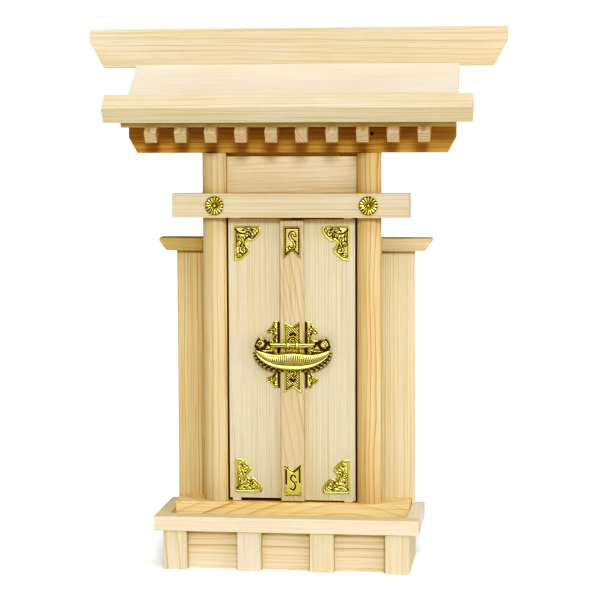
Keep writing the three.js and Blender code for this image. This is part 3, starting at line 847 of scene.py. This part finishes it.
def make_side_plates(context):
    """The scalloped plates beside the stile, under the lock."""
    curve = smooth_line(SIDE_CURVE, 90)

    def border(u, v, edge):
        return np.minimum(distance(curve, u, v) - 1.1, u - 1.4)

    raised = [
        (spiral(6.0, side * 23.4, 2.7, 1.2, side * 1.4, -side), 0.6) for side in (-1, 1)
    ] + [(smooth_line([(4.4, side * 8), (5.4, side * 13), (4.2, side * 18)]), 0.6) for side in (-1, 1)]
    cut = [(pit(5.6, side * z, 0.2), 0.7) for side in (-1, 1) for z in (19.6, 26.8, 10.4)]
    worked = worked_plate(PLATE_THICKNESS, border, raised, cut)

    def relief(u, v, edge):
        height, wear = worked(u, v, edge)
        # Darker along the straight edge beside the stile.
        return height, wear * (0.2 + 0.8 * ease(u, 1.0, 2.2))

    for hand, side in HANDS:
        node = f"lock_side_plate_{hand}"
        low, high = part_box(node)
        x = high.x if side < 0 else low.x
        z = (low.z + high.z) / 2

        def place(u, v, height, x=x, z=z, side=side, back=high.y):
            return x + side * u * MM, back - height * MM, z + v * MM

        pressed_sheet(context, f"scalloped_{node}", node, curve, relief, place)


# ---- the crescent lock ----
def make_lock_backplate(context):
    """The fan-shaped plate behind the lock, its lower edge in small scallops."""
    low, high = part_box("lock_backplate")
    middle = (low.x + high.x) / 2
    wide, tall, lobes = 36.6, 22.0, 21
    angles = np.linspace(math.pi, math.tau, lobes * 8 + 1)
    swell = 0.9 * np.abs(np.sin((angles - math.pi) * lobes))
    flat = 1 - 0.17 * np.sin(angles) ** 8
    fan = np.stack([(wide + swell) * np.cos(angles), (tall + swell) * flat * np.sin(angles)], 1)
    t = np.linspace(1, -1, 25)[1:-1]
    upper = np.stack([t * 33.5, -1 - 6.5 * np.sqrt(1 - t * t)], 1)
    top = 198.5 * MM

    def relief(u, v, edge):
        angle = np.arctan2(v / tall, u / wide)
        out = np.hypot(u / wide, v / tall)
        veins = np.cos(angle * lobes * 2)
        height = 0.6 - 0.3 * (1 - ease(edge, 0, 0.5)) + 0.12 * veins * ease(out, 0.6, 0.8)
        wear = 0.22 + 0.3 * veins - 0.6 * hump(edge - 1.6, 0.6) + 0.3 * hump(edge - 0.6, 0.6)
        return np.maximum(height, 0.1), np.clip(wear, 0, 1)

    def place(u, v, height):
        return middle + u * MM, high.y - height * MM, top + v * MM

    outline = np.vstack([fan, upper])
    pressed_sheet(context, "scalloped_lock_backplate", "lock_backplate", outline, relief, place, cell=0.3)


def make_lock_body(context):
    """The ribbed crescent body, with a smooth rim along its foot."""
    low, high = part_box("lock_body")
    middle = (low.x + high.x) / 2
    tip = 0.985
    half = (high.x - low.x) / 2 / MM / tip
    profile = smooth_line(
        [(0, 0), (0.62, 0.02), (0.98, 0.1), (0.98, 0.2), (0.86, 0.29), (0.84, 0.36), (0.99, 0.56),
         (0.84, 0.84), (0.42, 0.985), (0, 1)], 44
    )
    points = []
    wear = []
    steps = 300
    for i in range(steps + 1):
        t = (i / steps * 2 - 1) * tip
        full = math.sqrt(1 - t * t)
        x = t * half
        top = 198 + 3.4 * abs(t) ** 3 - 1.2 * (1 - full) - 1.6 * math.sin(math.pi * abs(t)) ** 2
        foot = 180.6 + 21.4 * (1 - full)
        tall = max(top - foot, 1.2)
        swell = 5.0 * full + 0.8
        for out, rise in profile:
            rib = math.cos(math.tau * (x * (1.0 - 0.22 * rise) / 1.7))
            ribbed = min(1, max(0, (rise - 0.3) / 0.06)) * min(1, max(0, (0.93 - rise) / 0.1))
            proud = out * swell + 0.16 * rib * ribbed * full
            points.append((middle + x * MM, high.y - proud * MM, (foot + rise * tall) * MM))
            crease = max(0, 1 - ((rise - 0.31) / 0.035) ** 2)
            # The ribs darken towards their foot, as painted shade.
            wear.append(1 - ribbed * (0.38 - 0.38 * rib + 0.12 * (1 - rise)) - 0.9 * crease)
    brass_piece(context, "ribbed_lock_body", points, tube_faces(steps + 1, len(profile)), "lock_body", wear)


def make_lock_bolt(context):
    """The sliding bolt with its two collars, between two scrolled heads."""
    low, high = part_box("lock_bolt")
    middle = (low.x + high.x) / 2
    axis_y = high.y - 3.0 * MM
    axis_z = BOLT_HEIGHT * MM
    sides = 40
    rows = np.linspace(-20, 20, 161)
    points = []
    wear = []
    for x in rows:
        collar = max(0, 1 - (abs(abs(x - 0.3) - 4.1) / 1.5) ** 4)
        radius = 2.2 + 0.95 * math.sqrt(collar)
        for k in range(sides):
            angle = math.tau * k / sides
            crease = max(0, 1 - ((angle - math.pi) / 0.32) ** 2) * (1 - collar)
            reach = radius - 0.3 * crease
            rise = reach * math.sin(angle)
            points.append((middle + x * MM, axis_y + reach * math.cos(angle) * MM, axis_z + rise * MM))
            # The upper half is darker: painted reflection of the dim ceiling.
            wear.append(0.92 - 0.8 * crease - 0.3 * collar * (1 - collar) - 0.3 * max(0, math.sin(angle)))
    brass_piece(context, "lock_bolt_rod", points, tube_faces(len(rows), sides), "lock_bolt", wear)
    outline = smooth_line(
        [(17, 200.2), (25, 198.6), (33.6, 200.6), (35.6, 204.4), (31, 211.4), (24, 208.6), (19, 209.4)], 64,
        closed=True
    )
    cut = [
        (smooth_line([(25.6, 209.0), (24.4, 205.4), (27.2, 201.4), (31, 200.4), (34.6, 203.2)], 24), 1.4),
        (smooth_line([(22.4, 207.4), (21.6, 204.4), (19.0, 202.4)]), 1.1),
        (smooth_line([(34.6, 204.8), (33.2, 208.4), (31, 210.6)], 12), 0.7),
        (smooth_line([(26.4, 200.2), (23.4, 200.6), (20.4, 201.2)], 12), 0.5),
        (np.array([(28.6, 206.8), (31.4, 204.4)]), 0.45),
        (np.array([(30.0, 207.8), (32.8, 205.4)]), 0.45),
    ]
    raised = [
        (np.array([(29.0, 205.4), (31.8, 206.2)]), 2.7),
        (smooth_line([(18.4, 207.4), (20.6, 208.0), (23.2, 206.8)]), 0.5),
    ]
    relief = worked_plate(2.6, bordered(0.9), raised, cut, plain_ground, 0.78, 1.0)
    for hand, side in HANDS:
        def place(u, v, height, side=side, back=high.y):
            return middle + side * u * MM, back - height * MM, v * MM

        head = pressed_sheet(context, f"lock_head_{hand}", None, outline, relief, place, cell=0.25)
        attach(head, NODES["lock_bolt"]["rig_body"])


# ---- rosettes, pins and small marks ----
def make_rosette(context, hand):
    """A chrysanthemum of sixteen hollow petals round a small boss."""
    node = f"rosette_{hand}"
    low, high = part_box(node)
    middle = (low + high) / 2
    outer = (high.x - low.x) / 2 / MM
    petals = 16
    around = petals * 14
    reaches = np.concatenate([[0.012], np.linspace(0.06, 1, 38)])
    points = []
    wear = []
    for reach in reaches:
        for k in range(around):
            angle = math.tau * k / around
            across = 2 * abs(math.cos(petals * angle / 2)) ** 0.8 - 1
            tip = 1 - 0.085 * (1 - abs(math.cos(petals * angle / 2)) ** 0.7) * ease(reach, 0.5, 1)
            radius = outer * reach * tip
            if reach < 0.15:
                height = 1.6 - 12 * reach**2
                shine = 0.8
            else:
                valley = ease(reach, 0.12, 0.3)
                out = (reach - 0.15) / 0.85
                height = 0.7 + math.sin(min(1, out) * 2.3) + 0.42 * across * valley - ease(reach, 0.84, 1.0)
                # shine paints highlight on the petal crowns and shade towards the rim.
                shine = 0.48 + (0.1 + 0.55 * across) * valley - 0.45 * hump(reach - 0.19, 0.06)
                shine -= 0.4 * ease(reach, 0.88, 1.0)
            points.append((middle.x + radius * math.cos(angle) * MM, high.y - max(height, 0.15) * MM,
                           middle.z + radius * math.sin(angle) * MM))
            wear.append(shine)
    rim = points[-around:]
    points += [(x, high.y, z) for x, y, z in rim]
    wear += [0.2] * around
    brass_piece(context, f"chrysanthemum_{hand}", points, tube_faces(len(reaches) + 1, around), node, wear)


def make_pillar(context, hand):
    """A pillar with a smooth rounded front between two short flanks."""
    node = f"pillar_{hand}"
    low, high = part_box(node)
    middle = (low.x + high.x) / 2
    half = (high.x - low.x) / 2
    rise = 5.2 * MM
    radius = (half * half + rise * rise) / (2 * rise)
    reach = math.asin(half / radius)
    ring = [(low.x, high.y)]
    for a in np.linspace(-reach, reach, 49):
        ring.append((middle + radius * math.sin(a), low.y + radius * (1 - math.cos(a))))
    ring.append((high.x, high.y))
    points = [(x, y, z) for z in (low.z, high.z) for x, y in ring]
    finish = board_finish(context, node)
    piece = mesh_piece(f"turned_{node}", points, tube_faces(2, len(ring)), finish, node, crisp=30)
    ease_edges(context, piece, 30)


def make_splinter(context):
    """A curled sliver that stands off the top edge of the upper panel."""
    low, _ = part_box("upper_panel")
    root = Vector((SPLINTER_ROOT.x, low.y, SPLINTER_ROOT.z))
    spine = smooth_line(
        [(0.0, 0.5, 1.0), (0.9, -0.7, 0.4), (2.4, -1.2, -1.2), (4.0, -1.4, -2.8), (3.2, -1.2, -3.0),
         (1.8, -0.8, -1.9)], 24
    )
    points = []
    for i, (x, y, z) in enumerate(spine):
        wide = 0.4 * (1 - i / len(spine)) + 0.16
        for a, b in ((-wide, 0.1), (wide, 0.1), (wide, -0.1), (-wide, -0.1)):
            points.append(root + Vector((x + a * 0.6, y + b, z + a * 0.8)) * MM)
    # The sliver's pale tone is painted light: it stands in the panel's shade.
    sliver = Board(late=0.1, tone=(1.4, 1.4, 1.35))
    finish = cypress("splinter", sliver, root, context.scene.altar_wood)
    piece = mesh_piece("panel_splinter", points, tube_faces(len(spine), 4), finish)
    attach(piece, NODES["upper_panel"]["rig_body"])


def make_nailed_beam(context):
    """The eave beam with the old nail hole near its right pillar."""
    node = NODES["eave_beam"]
    low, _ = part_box("eave_beam")
    bpy.ops.mesh.primitive_cylinder_add(
        vertices=24, radius=NAIL_HOLE_RADIUS, depth=10 * MM, location=(NAIL_HOLE.x, low.y, NAIL_HOLE.z),
        rotation=(math.pi / 2, 0, 0)
    )
    drill = context.object
    weld = weld_seams(node)
    bored = node.modifiers.new("bored", "BOOLEAN")
    bored.object = drill
    bored.operation = "DIFFERENCE"
    graph = context.evaluated_depsgraph_get()
    mesh = bpy.data.meshes.new_from_object(node.evaluated_get(graph))
    for modifier in (weld, bored):
        node.modifiers.remove(modifier)
    bpy.data.objects.remove(drill)
    mesh.materials.clear()
    mesh.materials.append(board_finish(context, "eave_beam"))
    piece = place_object("bored_eave_beam", mesh)
    ease_edges(context, piece)
    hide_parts("eave_beam")
    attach(piece, node["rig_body"])


# ---- studio ----
# Each light's strength, bearing, height and width; the last three are in degrees.
LIGHTS = (("key", 9, 25, 16), ("top", 4, 69, 45), ("side", 75, 12, 40), ("back", 165, 40, 80))


def soft_light(name, azimuth, elevation, spread, strength):
    """A far light on that bearing, as wide as spread."""
    light = bpy.data.lights.new(name, "SUN")
    light.angle = math.radians(spread)
    light.energy = strength
    lamp = place_object(name, light)
    a, e = math.radians(azimuth), math.radians(elevation)
    bearing = Vector((math.sin(a) * math.cos(e), -math.cos(a) * math.cos(e), math.sin(e)))
    lamp.location = bearing
    lamp.rotation_euler = bearing.to_track_quat("Z", "Y").to_euler()


def make_camera(studio):
    pitch, roll, yaw = studio.camera_turn
    ahead = Vector((-math.sin(yaw) * math.cos(pitch), math.cos(yaw) * math.cos(pitch), math.sin(pitch)))
    right = Vector((math.cos(yaw), math.sin(yaw), 0))
    up = right.cross(ahead)
    tilted_right = math.cos(roll) * right + math.sin(roll) * up
    tilted_up = -math.sin(roll) * right + math.cos(roll) * up
    camera = bpy.data.cameras.new("camera")
    camera.lens = studio.camera_lens
    camera.sensor_width = 36
    camera.shift_x, camera.shift_y = studio.camera_shift
    camera.clip_start = 0.05
    camera.clip_end = 30
    eye = place_object("camera", camera)
    turn = Matrix((tilted_right, tilted_up, -ahead)).transposed().to_4x4()
    eye.matrix_world = Matrix.Translation(Vector(studio.camera_place)) @ turn
    bpy.context.scene.camera = eye


def make_room(context, studio):
    """A white room with far walls that are brighter than its ceiling."""
    room = bpy.data.worlds.new("white_room")
    room.use_nodes = True
    nodes = room.node_tree.nodes
    direction = nodes.new("ShaderNodeTexCoord")
    parts = nodes.new("ShaderNodeSeparateXYZ")
    rise = nodes.new("ShaderNodeMapRange")
    bounds = {"From Min": 0.08, "From Max": 0.3, "To Min": studio.wall, "To Max": studio.sky}
    for name, value in bounds.items():
        rise.inputs[name].default_value = value
    background = nodes["Background"]
    background.inputs["Color"].default_value = (1, 1, 1, 1)
    links = room.node_tree.links
    links.new(direction.outputs["Generated"], parts.inputs[0])
    links.new(parts.outputs["Z"], rise.inputs["Value"])
    links.new(rise.outputs[0], background.inputs["Strength"])
    context.scene.world = room


def grade(view):
    """A contrasty print whose shadows turn warm."""
    view.view_transform = "Standard"
    view.look = "Very High Contrast"
    view.use_curve_mapping = True
    curves = view.curve_mapping
    green = ((0.07, 0.045), (0.15, 0.115), (0.3, 0.285))
    blue = ((0.07, 0.02), (0.13, 0.06), (0.25, 0.2))
    for channel, bend in ((1, green), (2, blue)):
        for light, shown in (*bend, (0.4, 0.4)):
            point = curves.curves[channel].points.new(light, shown)
            point.handle_type = "VECTOR"
    curves.update()


def make_studio(context):
    """A pale floor in a white room, with four soft lights."""
    studio = context.scene.altar_studio
    make_camera(studio)
    for name, azimuth, elevation, spread in LIGHTS:
        soft_light(f"{name}_light", azimuth, elevation, spread, getattr(studio, name))
    make_room(context, studio)
    bpy.ops.mesh.primitive_plane_add(size=60, location=(0, 0, CAD_BOX[0].z - FLOOR_GAP))
    floor = context.object
    floor.name = "studio_floor"
    finish = Finish("pale_floor")
    finish.plug(finish.shader.inputs["Base Color"], studio.floor)
    finish.plug(finish.shader.inputs["Roughness"], 0.9)
    floor.data.materials.append(finish.material)
    grade(context.scene.view_settings)


# ---- operators ----
class ALTAR_OT_studio(Operator):
    """Set up the camera, the floor and the light"""

    bl_idname = "altar.studio"
    bl_label = "Studio"

    def execute(self, context):
        make_studio(context)
        return {"FINISHED"}


class ALTAR_OT_base(Operator):
    """Dress the base, its posts and the railed tray"""

    bl_idname = "altar.base"
    bl_label = "Base and tray"

    def execute(self, context):
        dress_boards(context, "base_", "tray_", "floor_")
        return {"FINISHED"}


class ALTAR_OT_cabinet(Operator):
    """Dress the walls, wings, panel and tie board, and round the pillars"""

    bl_idname = "altar.cabinet"
    bl_label = "Cabinet and pillars"

    def execute(self, context):
        dress_boards(context, "cabinet_", "wing_", "back_", "tie_", "upper_")
        for hand, _ in HANDS:
            make_pillar(context, hand)
        make_splinter(context)
        return {"FINISHED"}


class ALTAR_OT_roof(Operator):
    """Dress the ridge, roof boards and rafters, and bore the eave beam"""

    bl_idname = "altar.roof"
    bl_label = "Roof"

    def execute(self, context):
        dress_boards(context, "ridge_", "roof_", "eave_board", "rafter_")
        make_nailed_beam(context)
        return {"FINISHED"}


class ALTAR_OT_doors(Operator):
    """Dress the two doors, the lapping stile and their pins"""

    bl_idname = "altar.doors"
    bl_label = "Doors"

    def execute(self, context):
        dress_boards(context, "left_door_", "right_door_", "door_")
        for hand, _ in HANDS:
            for end in ("top", "foot"):
                NODES[f"{hand}_pin_{end}"].material_slots[0].material = pressed_brass(context, worked=False)
        return {"FINISHED"}


class ALTAR_OT_corner_plates(Operator):
    """Make the four scrolled corner plates"""

    bl_idname = "altar.corner_plates"
    bl_label = "Corner plates"

    def execute(self, context):
        make_corner_plates(context)
        return {"FINISHED"}


class ALTAR_OT_stile_plates(Operator):
    """Make the three straps on the stile"""

    bl_idname = "altar.stile_plates"
    bl_label = "Stile plates"

    def execute(self, context):
        make_stile_plates(context)
        return {"FINISHED"}


class ALTAR_OT_side_plates(Operator):
    """Make the two scalloped plates beside the stile"""

    bl_idname = "altar.side_plates"
    bl_label = "Side plates"

    def execute(self, context):
        make_side_plates(context)
        return {"FINISHED"}


class ALTAR_OT_lock(Operator):
    """Make the crescent lock, its backplate and its bolt"""

    bl_idname = "altar.lock"
    bl_label = "Crescent lock"

    def execute(self, context):
        make_lock_backplate(context)
        make_lock_body(context)
        make_lock_bolt(context)
        return {"FINISHED"}


class ALTAR_OT_rosettes(Operator):
    """Make the two chrysanthemum rosettes"""

    bl_idname = "altar.rosettes"
    bl_label = "Rosettes"

    def execute(self, context):
        for hand, _ in HANDS:
            make_rosette(context, hand)
        return {"FINISHED"}


STEPS = (
    ALTAR_OT_studio, ALTAR_OT_base, ALTAR_OT_cabinet, ALTAR_OT_roof, ALTAR_OT_doors, ALTAR_OT_corner_plates,
    ALTAR_OT_stile_plates, ALTAR_OT_side_plates, ALTAR_OT_lock, ALTAR_OT_rosettes,
)


class ALTAR_PT_panel(Panel):
    """Settings and steps of the altar cabinet"""

    bl_label = "Altar cabinet"
    bl_space_type = "VIEW_3D"
    bl_region_type = "UI"
    bl_category = "Altar"

    def draw(self, context):
        for group in (context.scene.altar_wood, context.scene.altar_brass, context.scene.altar_studio):
            box = self.layout.box()
            for name in group.__annotations__:
                box.prop(group, name)
        for step in STEPS:
            self.layout.operator(step.bl_idname)


CLASSES = (AltarWood, AltarBrass, AltarStudio, *STEPS, ALTAR_PT_panel)


def register():
    for item in CLASSES:
        bpy.utils.register_class(item)
    bpy.types.Scene.altar_wood = PointerProperty(type=AltarWood)
    bpy.types.Scene.altar_brass = PointerProperty(type=AltarBrass)
    bpy.types.Scene.altar_studio = PointerProperty(type=AltarStudio)


def unregister():
    for name in ("altar_wood", "altar_brass", "altar_studio"):
        delattr(bpy.types.Scene, name)
    for item in reversed(CLASSES):
        bpy.utils.unregister_class(item)


def main():
    register()
    for step in STEPS:
        group, name = step.bl_idname.split(".")
        getattr(getattr(bpy.ops, group), name)()


if __name__ == "__main__":
    main()
